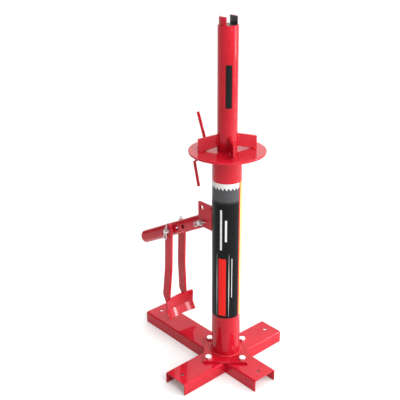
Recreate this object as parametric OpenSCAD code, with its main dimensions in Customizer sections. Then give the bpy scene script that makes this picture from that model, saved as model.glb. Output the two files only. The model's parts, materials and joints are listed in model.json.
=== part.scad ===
// Bead breaker with a wheel-clamping post, for changing tyres by hand.
// Millimetres. +Z is up, the origin is on the post axis at floor level.
// The long base leg and the breaker arm point along -X.

/* [Base] */
// width of every base channel, measured across the leg
channel_width = 76.2; // [70:0.1:82]
// height of the base channels above the floor
channel_height = 34; // [30:0.5:40]
// sheet thickness of the base channels
channel_wall = 3.2; // [2.5:0.1:4]
// post axis to the tip of the long leg under the breaker shoe
long_leg_reach = 308; // [290:1:340]
// post axis to the tip of the opposite, short end of the same channel
short_end_reach = 150; // [130:1:180]
// post axis to the tip of each side leg
side_leg_reach = 184; // [150:1:220]
// side of the square plate under the post
plate_side = 121; // [115:1:128]
// thickness of that plate
plate_thickness = 6.35; // [5:0.05:9]
// post axis to each plate bolt
plate_bolt_radius = 65; // [60:0.5:68]
// distance from a leg tip to its floor anchor hole
anchor_inset = 25; // [18:1:35]
// radius of the floor anchor holes
anchor_hole_radius = 5; // [4:0.5:6]

/* [Posts] */
// outside radius of the lower post
lower_post_radius = 38.1; // [37:0.1:39]
// wall of the lower post
lower_post_wall = 3; // [2:0.1:4]
// height of the disc's top face above the floor
disc_top_height = 627.5; // [590:0.5:660]
// radius of the wheel support disc
disc_radius = 98; // [92:0.5:110]
// thickness of the wheel support disc
disc_thickness = 5; // [4:0.5:6]
// outside radius of the upper post
upper_post_radius = 25.4; // [25:0.1:26]
// wall of the upper post
upper_post_wall = 2.9; // [2.5:0.1:3.2]
// height of the upper post's top rim
upper_post_top = 937; // [880:1:980]
// how far the forked end stands above that rim
fork_height = 20; // [14:1:30]
// width of the slot across the forked end
fork_slot_width = 31; // [24:0.5:33]
// direction of that slot, from +X
fork_slot_angle = -10; // [-45:1:45]

/* [Support fins] */
// outer radius of the four fins
fin_reach = 75; // [68:0.5:85]
// height of a fin at its outer end
fin_end_height = 32.5; // [26:0.5:40]
// gap under a fin where it meets the upper post
fin_inner_gap = 10.5; // [6:0.5:14]
// height of a fin where it meets the upper post
fin_inner_height = 32; // [26:0.5:40]
// radius inside which a fin clears the disc
fin_foot_radius = 63; // [55:0.5:66]
// direction of the first fin, from +X
fin_angle = -31; // [-34:1:-26]

/* [Breaker bracket and arm] */
// thickness of the bracket ears and of the links
plate_stock = 6.35; // [5:0.05:7]
// clear gap between the ears, and between the links at the top
ear_gap = 42.4; // [41:0.1:46]
// post axis to the free edge of the ears
ear_reach = 80; // [78:0.5:90]
// height of the ears' lower edge
ear_bottom = 402; // [390:1:420]
// height of the ears' upper edge
ear_top = 471; // [465:1:490]
// post axis to the two holes in the ears
pivot_reach = 67; // [66:0.5:70]
// height of the hole the arm hangs on
pivot_height = 415.5; // [412:0.5:420]
// height of the spare hole above it
spare_hole_height = 456.5; // [452:0.5:460]
// radius of the two quick-release pins
pin_radius = 6.35; // [6:0.05:6.35]
// slope of the arm below the horizontal in the rest position
arm_slope = 28.6; // [28:0.1:29]
// outside radius of the arm tube
arm_radius = 19.05; // [18.5:0.05:19.5]
// wall of the arm tube
arm_wall = 3.2; // [2.5:0.1:4]
// pivot to the open outer end of the arm
arm_length = 316; // [300:1:340]
// pivot to the nearest link hole in the arm
first_link_hole = 100; // [95:1:105]
// spacing of the three link holes
link_hole_pitch = 30; // [26:1:32]

/* [Links and shoe] */
// width of the link bars
link_width = 28; // [26:0.5:32]
// height of a link above its pin
link_head = 22; // [18:0.5:24]
// link pin to the bend where a link starts to splay
link_bend_drop = 119; // [100:1:140]
// link pin to the lower end of a link
link_drop = 246; // [240:1:250]
// how far each link has splayed at the shoe
link_splay = 6.8; // [3:0.1:9]
// lean of the hanging links, lower end away from the post
link_lean = 2.5; // [1:0.1:4]
// length of the shoe between its ends
shoe_length = 100; // [90:1:110]
// radius of the shoe's hollow side, which faces the post
shoe_curve_radius = 194; // [180:1:220]
// height of the shoe's upright part
shoe_blade_height = 37; // [30:0.5:45]
// drop of the shoe's flared lip
shoe_lip_drop = 23; // [18:0.5:28]
// how far the lip flares towards the post
shoe_lip_flare = 13; // [8:0.5:16]

/* [Wheel lock rod] */
// radius of the cranked rod
rod_radius = 4; // [3.5:0.1:4.2]
// direction of the rod from the post axis, from +X
rod_angle = -166; // [-170:1:-160]
// lean of the rod's two straight ends, top outwards
rod_lean = 17; // [14:0.5:18]

/* [Hidden] */
$fn = 64;
// running clearance round every pin
pin_clearance = 0.1;
// anything a cut must pass right through is this much longer
cut_margin = 2;
// a plate that meets a post is drawn this much too long, then cut to the post's curve
cope_allowance = 2;
// beads stop this far short of the ends of the edge they follow
weld_end_gap = 2;

// base
channel_bend = 5;
bolt_radius = 5;
bolt_hole_radius = 5.5;
bolt_head_across = 17;
bolt_head_height = 6.4;
bolt_head_turn = 20;
nut_height = 8;
nut_bore_clearance = 0.05;
bolt_thread_tail = 3;
plate_top = channel_height + plate_thickness;
web_underside = channel_height - channel_wall;
disc_underside = disc_top_height - disc_thickness;

// welds
post_weld_size = 5;
ear_weld_radius = 4;
fin_weld_radius = 3.5;
fin_foot_weld_radius = 3;
shoe_weld_radius = 4;

// labels on the lower post, directions from +X
label_skin = 0.3;
label_bottom = 162;
label_top = 549;
front_label_start = -124;
front_label_end = 10;
side_label_start = 18;
side_label_end = 74;

// bracket
ear_outer_face = ear_gap/2 + plate_stock;
// an ear's blank reaches this far inside the post before it is cut to the post's curve
ear_blank_inset = 20;

// forked end and the plug welds that hold it
fork_seat_depth = 57;
fork_fit = 0.05;
fork_radius = upper_post_radius - upper_post_wall - fork_fit;
fork_shoulder = 0.5;
plug_weld_radius = 4;
plug_weld_angle = -21;
plug_weld_drop = 10;

// pins and their spring clips
pin_half_length = 41;
pin_chamfer = 1.2;
clip_wire_radius = 1.6;
clip_hole_radius = 1.8;
clip_hole_reach = 34;
clip_straight_end = 24.4;
clip_loop_reach = 19.6;
clip_loop_radius = 5.6;
clip_leg_slope = 40;
clip_dip_radius = 5;
clip_pin_gap = 0.15;
clip_tip_lift = 10;
// directions of the clips' straight legs in the X-Z plane, near end then far end, from +X
pivot_clip_directions = [19, 199];
link_clip_directions = [88, -28];

// arm
arm_inner_end = 22.2;
link_pin_reach = first_link_hole + 2*link_hole_pitch;
link_pin_x = -pivot_reach - link_pin_reach*cos(arm_slope);
link_pin_z = pivot_height - link_pin_reach*sin(arm_slope);

// links and shoe: the shoe is one bent plate, hollow towards the post, drawn round a distant upright axis
link_tip_width = 6;
link_corner_cut = 34;
shoe_top = -213;
shoe_bottom_of_blade = shoe_top - shoe_blade_height;
shoe_outer_radius = shoe_curve_radius + plate_stock;
shoe_weld_y = ear_outer_face + link_splay;
shoe_axis_x = link_width/2 + sqrt(pow(shoe_outer_radius, 2) - pow(ear_gap/2 + link_splay, 2));
shoe_weld_start = 6;
// where the lip's hollow side ends, inwards and upwards from its lower corner
shoe_lip_corner = [0.5, 2.5];
// the bend is this much higher on the hollow side
shoe_bend_rise = 1;

// the rod in its upright plane: distances from the post axis, and heights
rod_hole_reach = 61.3;
rod_hole_radius = 5.7;
rod_top_height = 711;
rod_upper_bend_height = 611;
rod_lower_bend = [105, 571];
rod_bottom_height = 511;
rod_bend_radius = 11;
rod_upper_bend = [rod_hole_reach - (disc_underside + disc_thickness/2 - rod_upper_bend_height)*tan(rod_lean),
                  rod_upper_bend_height];
// directions in that plane, measured from straight down towards outwards
rod_crank_angle = atan2(rod_lower_bend[0] - rod_upper_bend[0], rod_upper_bend[1] - rod_lower_bend[1]);
rod_turn = rod_crank_angle + rod_lean;
rod_bend_inset = rod_bend_radius*tan(rod_turn/2);

red = [0.72, 0.03, 0.05];
zinc = [0.80, 0.80, 0.78];

// ---------- shared shapes ----------

module tube(outer_radius, inner_radius, length)
    difference() {
        cylinder(r = outer_radius, h = length);
        translate([0, 0, -cut_margin]) cylinder(r = inner_radius, h = length + 2*cut_margin);
    }

// a bar of round section along Y, centred on the X-Z plane
module cross_bar(radius, half_length)
    rotate([90, 0, 0]) cylinder(r = radius, h = 2*half_length, center = true);

// points along an arc in a plane, leaving out the first ones when they repeat the piece before
function arc_points(centre, radius, start_angle, end_angle, steps, first = 0) =
    [for (i = [first:steps]) centre + radius*[cos(start_angle + i*(end_angle - start_angle)/steps),
                                             sin(start_angle + i*(end_angle - start_angle)/steps)]];

function unit(vector) = vector/norm(vector);
function heading(path, i) = unit((i > 0 ? unit(path[i] - path[i - 1]) : [0, 0])
    + (i < len(path) - 1 ? unit(path[i + 1] - path[i]) : [0, 0]));

// a round bar that follows a path of [x, z] points in the X-Z plane
module swept_bar(path, radius, sides) {
    last = len(path) - 1;
    rings = [for (i = [0:last], k = [0:sides - 1])
        [path[i][0] - radius*cos(360*k/sides)*heading(path, i)[1], radius*sin(360*k/sides),
         path[i][1] + radius*cos(360*k/sides)*heading(path, i)[0]]];
    walls = [for (i = [0:last - 1], k = [0:sides - 1], half = [0, 1]) let (next = (k + 1) % sides)
        half == 0 ? [i*sides + k, i*sides + next, (i + 1)*sides + next]
                  : [i*sides + k, (i + 1)*sides + next, (i + 1)*sides + k]];
    start_cap = [for (k = [sides - 1:-1:0]) k];
    end_cap = [for (k = [0:sides - 1]) last*sides + k];
    polyhedron(rings, concat(walls, [start_cap, end_cap]));
}

// the outline of a channel end: a flat top with two bent flanges
module channel_outline(width, height, bend) {
    translate([-width/2, 0]) square([width, height - bend]);
    translate([-width/2 + bend, 0]) square([width - 2*bend, height]);
    for (side = [-1, 1]) translate([side*(width/2 - bend), height - bend]) circle(r = bend);
}

// an inverted channel whose length runs along +X from the origin
module channel(length)
    rotate([90, 0, 90]) linear_extrude(length) difference() {
        channel_outline(channel_width, channel_height, channel_bend);
        translate([0, -cut_margin]) channel_outline(channel_width - 2*channel_wall,
            web_underside + cut_margin, channel_bend - channel_wall);
    }

// an upright hole through the top of a leg
module leg_hole(distance, radius)
    translate([distance, 0, web_underside - cut_margin])
        cylinder(r = radius, h = channel_wall + 2*cut_margin);

// ---------- base ----------

module long_base_channel()
    color(red) difference() {
        translate([-long_leg_reach, 0, 0]) channel(long_leg_reach + short_end_reach);
        for (side = [-1, 1]) leg_hole(side*plate_bolt_radius, bolt_hole_radius);
        leg_hole(-long_leg_reach + anchor_inset, anchor_hole_radius);
        leg_hole(short_end_reach - anchor_inset, anchor_hole_radius);
    }

// a side leg butts against the flank of the long channel
module side_leg(direction)
    color(red) rotate([0, 0, direction]) difference() {
        translate([channel_width/2, 0, 0]) channel(side_leg_reach - channel_width/2);
        leg_hole(plate_bolt_radius, bolt_hole_radius);
        leg_hole(side_leg_reach - anchor_inset, anchor_hole_radius);
    }

module base_plate()
    color(red) difference() {
        translate([0, 0, channel_height]) rotate([0, 0, 45]) translate([-plate_side/2, -plate_side/2, 0])
            cube([plate_side, plate_side, plate_thickness]);
        for (turn = [0:90:270]) rotate([0, 0, turn])
            translate([plate_bolt_radius, 0, channel_height - cut_margin])
            cylinder(r = bolt_hole_radius, h = plate_thickness + 2*cut_margin);
    }

module hexagon(across, height) cylinder(r = across/sqrt(3), h = height, $fn = 6);

module plate_bolts()
    color(zinc) for (turn = [0:90:270]) rotate([0, 0, turn]) translate([plate_bolt_radius, 0, 0]) {
        translate([0, 0, web_underside - nut_height - bolt_thread_tail])
            cylinder(r = bolt_radius, h = plate_top - web_underside + nut_height + bolt_thread_tail);
        translate([0, 0, plate_top]) rotate([0, 0, bolt_head_turn])
            hexagon(bolt_head_across, bolt_head_height);
    }

module plate_nuts()
    color(zinc) for (turn = [0:90:270]) rotate([0, 0, turn])
        translate([plate_bolt_radius, 0, web_underside - nut_height]) difference() {
            hexagon(bolt_head_across, nut_height);
            translate([0, 0, -cut_margin])
                cylinder(r = bolt_radius + nut_bore_clearance, h = nut_height + 2*cut_margin);
        }

// ---------- lower post ----------

module lower_post()
    color(red) translate([0, 0, plate_top])
        tube(lower_post_radius, lower_post_radius - lower_post_wall, disc_underside - plate_top);

module post_base_weld()
    color(red) translate([0, 0, plate_top]) rotate_extrude()
        polygon([[lower_post_radius, 0], [lower_post_radius + post_weld_size, 0],
                 [lower_post_radius, post_weld_size]]);

// a sticker wrapped round the lower post between two directions
module wrapped_label(start_angle, end_angle) {
    sides = 4;
    wedge_reach = 2*lower_post_radius;
    translate([0, 0, label_bottom]) intersection() {
        tube(lower_post_radius + label_skin, lower_post_radius, label_top - label_bottom);
        linear_extrude(label_top - label_bottom) polygon(concat([[0, 0]],
            arc_points([0, 0], wedge_reach, start_angle, end_angle, sides)));
    }
}

module front_label() color([0.06, 0.06, 0.06]) wrapped_label(front_label_start, front_label_end);

module side_label() color([0.95, 0.82, 0.20]) wrapped_label(side_label_start, side_label_end);

// ---------- bracket ----------

module bracket_ear(side)
    color(red) difference() {
        translate([-ear_reach, side > 0 ? ear_gap/2 : -ear_outer_face, ear_bottom])
            cube([ear_reach - ear_blank_inset, plate_stock, ear_top - ear_bottom]);
        cylinder(r = lower_post_radius, h = ear_top + cut_margin);
        for (height = [pivot_height, spare_hole_height]) translate([-pivot_reach, 0, height])
            cross_bar(pin_radius + pin_clearance, ear_outer_face + cut_margin);
    }

// an upright bead in the corner between each ear's outer face and the post
module bracket_welds()
    color(red) for (side = [-1, 1]) difference() {
        translate([-sqrt(pow(lower_post_radius, 2) - pow(ear_outer_face, 2)), side*ear_outer_face,
                   ear_bottom + weld_end_gap])
            cylinder(r = ear_weld_radius, h = ear_top - ear_bottom - 2*weld_end_gap);
        cylinder(r = lower_post_radius, h = ear_top);
        translate([-ear_reach, -ear_outer_face, ear_bottom])
            cube([ear_reach, 2*ear_outer_face, ear_top - ear_bottom]);
    }

// ---------- wheel support ----------

module wheel_support_disc()
    color(red) difference() {
        translate([0, 0, disc_underside]) cylinder(r = disc_radius, h = disc_thickness, $fn = 128);
        rotate([0, 0, rod_angle]) translate([rod_hole_reach, 0, disc_underside - cut_margin])
            cylinder(r = rod_hole_radius, h = disc_thickness + 2*cut_margin);
    }

// a flat plate standing on the disc, sloping up to the upper post
module support_fin(number)
    color(red) rotate([0, 0, fin_angle + 90*(number - 1)]) difference() {
        translate([0, plate_stock/2, disc_top_height]) rotate([90, 0, 0]) linear_extrude(plate_stock)
            polygon([[upper_post_radius - cope_allowance, fin_inner_gap], [fin_foot_radius, 0],
                [fin_reach, 0],
                     [fin_reach, fin_end_height],
                     [upper_post_radius - cope_allowance, fin_inner_gap + fin_inner_height]]);
        translate([0, 0, disc_top_height]) cylinder(r = upper_post_radius, h = 2*fin_inner_height);
    }

// beads down both flanks of each fin at the upper post, and along its foot on the disc
module fin_welds()
    color(red) for (turn = [0:90:270], side = [-1, 1]) rotate([0, 0, fin_angle + turn]) {
        difference() {
            translate([upper_post_radius, side*plate_stock/2,
                    disc_top_height + fin_inner_gap + weld_end_gap/2])
                cylinder(r = fin_weld_radius, h = fin_inner_height - 2*weld_end_gap);
            translate([0, 0, disc_top_height]) cylinder(r = upper_post_radius, h = 2*fin_inner_height);
            translate([0, -plate_stock/2, disc_top_height])
                cube([fin_reach, plate_stock, 2*fin_inner_height]);
        }
        difference() {
            translate([fin_foot_radius + weld_end_gap/2, side*plate_stock/2, disc_top_height])
                rotate([0, 90, 0])
                cylinder(r = fin_foot_weld_radius, h = fin_reach - fin_foot_radius - weld_end_gap);
            translate([fin_foot_radius, -plate_stock/2, disc_top_height])
                cube([fin_reach, plate_stock, fin_end_height]);
            translate([0, 0, disc_top_height - 2*fin_foot_weld_radius])
                cylinder(r = disc_radius, h = 2*fin_foot_weld_radius);
        }
    }

// ---------- upper post ----------

module upper_post()
    color(red) difference() {
        translate([0, 0, disc_top_height])
            tube(upper_post_radius, upper_post_radius - upper_post_wall, upper_post_top - disc_top_height);
        translate([0, 0, upper_post_top - plug_weld_drop]) rotate([0, 90, plug_weld_angle])
            cylinder(r = plug_weld_radius, h = 3*upper_post_radius, center = true);
    }

module forked_post_end()
    color(red) difference() {
        translate([0, 0, upper_post_top - fork_seat_depth])
            cylinder(r = fork_radius, h = fork_seat_depth + fork_height);
        translate([0, 0, upper_post_top + fork_shoulder]) rotate([0, 0, fork_slot_angle])
            translate([-2*fork_radius, -fork_slot_width/2, 0])
                cube([4*fork_radius, fork_slot_width, fork_height + cut_margin]);
    }

// ---------- pins and clips ----------

// a straight pin along Y with a cross hole near each end for a spring clip
module quick_release_pin(clip_directions)
    difference() {
        union() {
            cross_bar(pin_radius, pin_half_length - pin_chamfer);
            for (side = [-1, 1]) translate([0, side*(pin_half_length - pin_chamfer), 0])
                rotate([-90*side, 0, 0])
                cylinder(r1 = pin_radius, r2 = pin_radius - pin_chamfer, h = pin_chamfer);
        }
        for (end = [0, 1]) translate([0, (2*end - 1)*clip_hole_reach, 0])
            rotate([0, 90 - clip_directions[end], 0])
            cylinder(r = clip_hole_radius, h = 3*pin_radius, center = true, $fn = 32);
    }

// a hairpin clip in the X-Z plane; its straight leg runs along X through the origin
module spring_clip() {
    slope = clip_leg_slope;
    hug_radius = pin_radius + clip_wire_radius + clip_pin_gap;
    dip_centre = (hug_radius + clip_dip_radius)*[sin(slope), cos(slope)];
    swept_bar(concat([[clip_straight_end, 0]],
        arc_points([-clip_loop_reach, clip_loop_radius], clip_loop_radius, 270, 90 - slope, 14),
        arc_points([-dip_centre[0], dip_centre[1]], clip_dip_radius, 270 - slope, 270 + slope, 6),
        arc_points([0, 0], hug_radius, 90 + slope, 90 - slope, 8, 1),
        arc_points(dip_centre, clip_dip_radius, 270 - slope, 270 - clip_tip_lift + slope, 6, 1)),
        clip_wire_radius, 16);
}

// a clip at one end of a pin; flip puts its wavy leg on the other side of the straight one
module placed_clip(side, direction, flip)
    translate([0, side*clip_hole_reach, 0]) rotate([0, -direction, 0]) mirror([0, 0, flip ? 1 : 0])
        spring_clip();

module at_pivot() translate([-pivot_reach, 0, pivot_height]) children();

module arm_pivot_pin() color(zinc) at_pivot() quick_release_pin(pivot_clip_directions);

module pivot_pin_clips()
    color(zinc) at_pivot() {
        placed_clip(-1, pivot_clip_directions[0], true);
        placed_clip(1, pivot_clip_directions[1], false);
    }

// ---------- arm ----------

// places children drawn with the arm's length along -X and its pivot at the origin
module on_arm() at_pivot() rotate([0, -arm_slope, 0]) children();

module breaker_arm_tube()
    color(red) on_arm() difference() {
        translate([arm_inner_end, 0, 0]) rotate([0, -90, 0])
            tube(arm_radius, arm_radius - arm_wall, arm_length + arm_inner_end);
        cross_bar(pin_radius + pin_clearance, arm_radius + cut_margin);
        for (number = [0:2]) translate([-first_link_hole - number*link_hole_pitch, 0, 0])
            cross_bar(pin_radius + pin_clearance, arm_radius + cut_margin);
    }

module at_link_pin() translate([link_pin_x, 0, link_pin_z]) children();

module link_pin() color(zinc) at_link_pin() quick_release_pin(link_clip_directions);

module link_pin_clips()
    color(zinc) at_link_pin() {
        placed_clip(-1, link_clip_directions[0], false);
        placed_clip(1, link_clip_directions[1], false);
    }

// ---------- links and shoe ----------

// places children drawn with the links hanging straight down from the origin
module on_links() at_link_pin() rotate([0, link_lean, 0]) children();

// edge-on outline of a link: straight at the top, splayed outwards below the bend
module link_edge_outline() {
    shoe_drop = -shoe_top;
    polygon([[ear_gap/2, link_head], [ear_gap/2, -link_bend_drop],
             [ear_gap/2 + link_splay, -shoe_drop], [ear_gap/2 + link_splay, -link_drop],
             [ear_outer_face + link_splay, -link_drop], [ear_outer_face + link_splay, -shoe_drop],
             [ear_outer_face, -link_bend_drop], [ear_outer_face, link_head]]);
}

// side view of a link: crowned head, lower rear corner cut away
module link_side_outline() {
    half = link_width/2;
    crown_radius = half + 1;
    intersection() {
        polygon([[-half, link_head + 1], [half, link_head + 1], [half, -link_drop],
                 [half - link_tip_width, -link_drop], [-half, -link_drop + link_corner_cut]]);
        union() {
            translate([0, link_head - crown_radius]) circle(r = crown_radius);
            translate([-link_width, -2*link_drop])
                square([2*link_width, 2*link_drop + link_head - crown_radius]);
        }
    }
}

module link_bar(side)
    color(red) on_links() difference() {
        intersection() {
            rotate([90, 0, 90]) translate([0, 0, -link_width]) linear_extrude(2*link_width)
                mirror([side > 0 ? 0 : 1, 0]) link_edge_outline();
            rotate([90, 0, 0]) translate([0, 0, -2*ear_gap]) linear_extrude(4*ear_gap)
                link_side_outline();
        }
        cross_bar(pin_radius + pin_clearance, ear_outer_face + cut_margin);
    }

module breaker_shoe()
    color(red) on_links() intersection() {
        translate([shoe_axis_x, 0, 0]) rotate_extrude($fn = 360) polygon([
            [shoe_curve_radius, shoe_top], [shoe_outer_radius, shoe_top],
            [shoe_outer_radius, shoe_bottom_of_blade],
            [shoe_outer_radius - shoe_lip_flare, shoe_bottom_of_blade - shoe_lip_drop],
            [shoe_curve_radius - shoe_lip_flare - shoe_lip_corner[0],
             shoe_bottom_of_blade - shoe_lip_drop + shoe_lip_corner[1]],
            [shoe_curve_radius, shoe_bottom_of_blade + shoe_bend_rise]]);
        translate([0, -shoe_length/2, shoe_top - shoe_blade_height - 2*shoe_lip_drop])
            cube([2*link_width, shoe_length, shoe_blade_height + 3*shoe_lip_drop]);
    }

// an upright bead outside each link where it meets the back of the shoe
module shoe_welds()
    color(red) on_links() for (side = [-1, 1]) difference() {
        translate([link_width/2, side*shoe_weld_y, shoe_bottom_of_blade + shoe_weld_start])
            cylinder(r = shoe_weld_radius, h = shoe_blade_height - shoe_weld_start - weld_end_gap);
        translate([0, -shoe_weld_y, shoe_bottom_of_blade])
            cube([link_width/2, 2*shoe_weld_y, shoe_blade_height]);
        translate([shoe_axis_x, 0, shoe_bottom_of_blade - 1])
            cylinder(r = shoe_outer_radius, h = shoe_blade_height + 2, $fn = 360);
    }

// ---------- wheel lock rod ----------

function along(from, distance, direction) = from + distance*[sin(direction), -cos(direction)];
function outward_normal(direction) = [cos(direction), sin(direction)];

module wheel_lock_rod() {
    upper_length = (rod_top_height - rod_upper_bend_height)/cos(rod_lean);
    lower_length = (rod_lower_bend[1] - rod_bottom_height)/cos(rod_lean);
    upper_bend_centre = along(rod_upper_bend, -rod_bend_inset, -rod_lean)
        + rod_bend_radius*outward_normal(-rod_lean);
    lower_bend_centre = along(rod_lower_bend, -rod_bend_inset, rod_crank_angle)
        - rod_bend_radius*outward_normal(rod_crank_angle);
    color(red) rotate([0, 0, rod_angle]) swept_bar(concat(
        [along(rod_upper_bend, -upper_length, -rod_lean)],
        arc_points(upper_bend_centre, rod_bend_radius, 180 - rod_lean, 180 + rod_crank_angle, 10),
        arc_points(lower_bend_centre, rod_bend_radius, rod_crank_angle, -rod_lean, 10),
        [along(rod_lower_bend, lower_length, -rod_lean)]), rod_radius, 32);
}

long_base_channel();
side_leg(-90);  // side_leg_left
side_leg(90);  // side_leg_right
base_plate();
plate_bolts();
plate_nuts();
lower_post();
post_base_weld();
front_label();
side_label();
bracket_ear(-1);  // bracket_ear_near
bracket_ear(1);  // bracket_ear_far
bracket_welds();
wheel_support_disc();
support_fin(1);  // support_fin_1
support_fin(2);  // support_fin_2
support_fin(3);  // support_fin_3
support_fin(4);  // support_fin_4
fin_welds();
upper_post();
forked_post_end();
arm_pivot_pin();
pivot_pin_clips();
breaker_arm_tube();
link_pin();
link_pin_clips();
link_bar(-1);  // near_link
link_bar(1);  // far_link
breaker_shoe();
shoe_welds();
wheel_lock_rod();
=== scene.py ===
import json
import math

import bmesh
import bpy
from mathutils import Matrix, Vector, noise


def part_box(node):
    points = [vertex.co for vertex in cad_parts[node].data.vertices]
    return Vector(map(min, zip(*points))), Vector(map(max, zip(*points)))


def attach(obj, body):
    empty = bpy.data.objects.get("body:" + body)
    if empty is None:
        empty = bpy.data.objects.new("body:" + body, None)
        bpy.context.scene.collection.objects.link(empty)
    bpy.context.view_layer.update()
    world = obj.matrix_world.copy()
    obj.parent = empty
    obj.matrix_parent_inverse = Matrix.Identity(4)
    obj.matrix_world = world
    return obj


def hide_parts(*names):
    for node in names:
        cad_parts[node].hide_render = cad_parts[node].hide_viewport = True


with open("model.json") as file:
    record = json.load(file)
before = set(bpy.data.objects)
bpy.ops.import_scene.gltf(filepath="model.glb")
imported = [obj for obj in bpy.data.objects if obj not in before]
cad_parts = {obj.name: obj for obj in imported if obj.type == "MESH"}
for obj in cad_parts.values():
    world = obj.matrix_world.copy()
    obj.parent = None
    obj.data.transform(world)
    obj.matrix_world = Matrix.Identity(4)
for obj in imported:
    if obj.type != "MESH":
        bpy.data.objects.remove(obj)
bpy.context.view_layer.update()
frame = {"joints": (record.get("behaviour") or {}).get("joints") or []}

# Bead breaker, drawn as detailed pieces over its CAD frame.
# Meshes are drawn in millimetres and scaled to metres when they become pieces.
# +Z is up, the origin is on the post axis at floor level, the long leg and the arm point along -X.

MM = 0.001
FULL_TURN = 2 * math.pi
UP = Vector((0, 0, 1))
ALONG_X = Vector((1, 0, 0))
ALONG_Y = Vector((0, 1, 0))


# ---------- places from the CAD frame ----------

def low(node):
    """Lowest corner of a CAD node, in millimetres."""
    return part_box(node)[0] / MM


def high(node):
    """Highest corner of a CAD node, in millimetres."""
    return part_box(node)[1] / MM


def joint_origin(name):
    """Origin of a joint, in millimetres."""
    found = [joint for joint in frame["joints"] if joint["name"] == name][0]
    return Vector(found["pos_m"]) / MM


CHANNEL_HEIGHT = high("long_base_channel").z
CHANNEL_HALF_WIDTH = high("long_base_channel").y
PLATE_TOP = high("base_plate").z
PLATE_HALF_DIAGONAL = high("base_plate").x
POST_RADIUS = high("lower_post").x
DISC_BOTTOM = low("wheel_support_disc").z
DISC_TOP = high("wheel_support_disc").z
DISC_RADIUS = high("wheel_support_disc").x
UPPER_POST_RADIUS = high("upper_post").x
UPPER_POST_TOP = high("upper_post").z
EAR_INNER_FACE = low("bracket_ear_far").y
EAR_OUTER_FACE = high("bracket_ear_far").y
PIVOT = joint_origin("arm_swing")
LINK_PIN = joint_origin("shoe_swing")
PIN_HALF_LENGTH = high("arm_pivot_pin").y
PIN_RADIUS = high("arm_pivot_pin").z - PIVOT.z

# sizes the frame doesn't give directly
CHANNEL_WALL = 3.2
CHANNEL_BEND = 5
POST_WALL = 3
UPPER_POST_WALL = 2.9
PLATE_STOCK = EAR_OUTER_FACE - EAR_INNER_FACE
ANCHOR_INSET = 25
ANCHOR_HOLE_RADIUS = 5
PLATE_BOLT_REACH = 65
BOLT_RADIUS = 5
BOLT_HOLE_RADIUS = 5.5
BOLT_HEAD_ACROSS = 17
PIN_HOLE_RADIUS = PIN_RADIUS + 0.1
SPARE_HOLE_HEIGHT = 456.5
CLIP_REACH = 34
CLIP_WIRE_RADIUS = 1.6
CLIP_HOLE_RADIUS = 1.8
FIN_ANGLE = -31
FIN_REACH = 75
FIN_FOOT_RADIUS = 63
FIN_INNER_GAP = 10.5
FIN_INNER_TOP = 42.5
FIN_END_TOP = 32.5
PLUG_ANGLE = math.radians(-21)
PLUG_RADIUS = 4
SLOT_ANGLE = math.radians(-10)
SLOT_WIDTH = 31
ROD_ANGLE = math.radians(-166)
ROD_RADIUS = 4
ROD_HOLE_REACH = 61.3
ROD_HOLE_RADIUS = 5.7
ARM_RADIUS = 19.05
ARM_WALL = 3.2
ARM_SLOPE = 28.6
ARM_INNER_END = 22.2
ARM_OUTER_END = 316
ARM_HOLES = (0, -100, -130, -160)
LINK_HALF_WIDTH = 14
LINK_HEAD = 22
LINK_DROP = 246
LINK_BEND_DROP = 119
LINK_LEAN = 2.5
LINK_SPLAY = 6.8
SHOE_TOP = -213
SHOE_BLADE_BOTTOM = -250
SHOE_INNER_RADIUS = 194
SHOE_OUTER_RADIUS = SHOE_INNER_RADIUS + PLATE_STOCK
SHOE_HALF_LENGTH = 50


# ---------- outlines ----------

def spot(radius, angle, x=0, y=0):
    """Coordinates at a distance and an angle from a point."""
    return x + radius * math.cos(angle), y + radius * math.sin(angle)


def rounded(corners, radius, steps=3):
    """A closed outline with its corners rounded. A corner is (x, y) or (x, y, its own radius)."""
    nearly_straight = math.radians(179)
    share_of_side = 0.48
    outline = []
    for index, corner in enumerate(corners):
        here = Vector(corner[:2])
        back = Vector(corners[index - 1][:2]) - here
        ahead = Vector(corners[(index + 1) % len(corners)][:2]) - here
        opening = back.angle(ahead)
        wanted = corner[2] if len(corner) > 2 else radius
        if wanted <= 0 or opening > nearly_straight:
            outline.append(here)
            continue
        longest = min(share_of_side * back.length, share_of_side * ahead.length)
        inset = min(wanted / math.tan(opening / 2), longest)
        arc_radius = inset * math.tan(opening / 2)
        middle = (back.normalized() + ahead.normalized()).normalized()
        centre = here + middle * (arc_radius / math.sin(opening / 2))
        first = here + back.normalized() * inset - centre
        last = here + ahead.normalized() * inset - centre
        sweep = math.atan2(first.x * last.y - first.y * last.x, first.dot(last))
        for step in range(steps + 1):
            outline.append(centre + Matrix.Rotation(sweep * step / steps, 2) @ first)
    return outline


def rectangle(left, bottom, right, top):
    """Corners of a rectangle, anticlockwise."""
    return [(left, bottom), (right, bottom), (right, top), (left, top)]


def circle(x, y, radius, steps=32):
    """A round outline."""
    return [Vector(spot(radius, FULL_TURN * step / steps, x, y)) for step in range(steps)]


def arc(centre, radius, start, end, steps, first=0):
    """Points along an arc, angles in degrees, leaving out the first ones."""
    angles = [math.radians(start + step * (end - start) / steps) for step in range(first, steps + 1)]
    return [Vector(spot(radius, angle, *centre)) for angle in angles]


def area(outline):
    """Signed area, above zero when the outline runs anticlockwise."""
    pairs = zip(outline[-1:] + outline[:-1], outline)
    return sum(before.x * here.y - here.x * before.y for before, here in pairs) / 2


def shrunk(outline, distance):
    """The outline moved to its left by a small distance: into the material when it runs anticlockwise."""
    moved = []
    for index, here in enumerate(outline):
        before = (here - outline[index - 1]).normalized()
        after = (outline[(index + 1) % len(outline)] - here).normalized()
        left_before = Vector((-before.y, before.x))
        left_after = Vector((-after.y, after.x))
        middle = (left_before + left_after).normalized()
        moved.append(here + middle * (distance / max(0.5, middle.dot(left_before))))
    return moved


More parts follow.
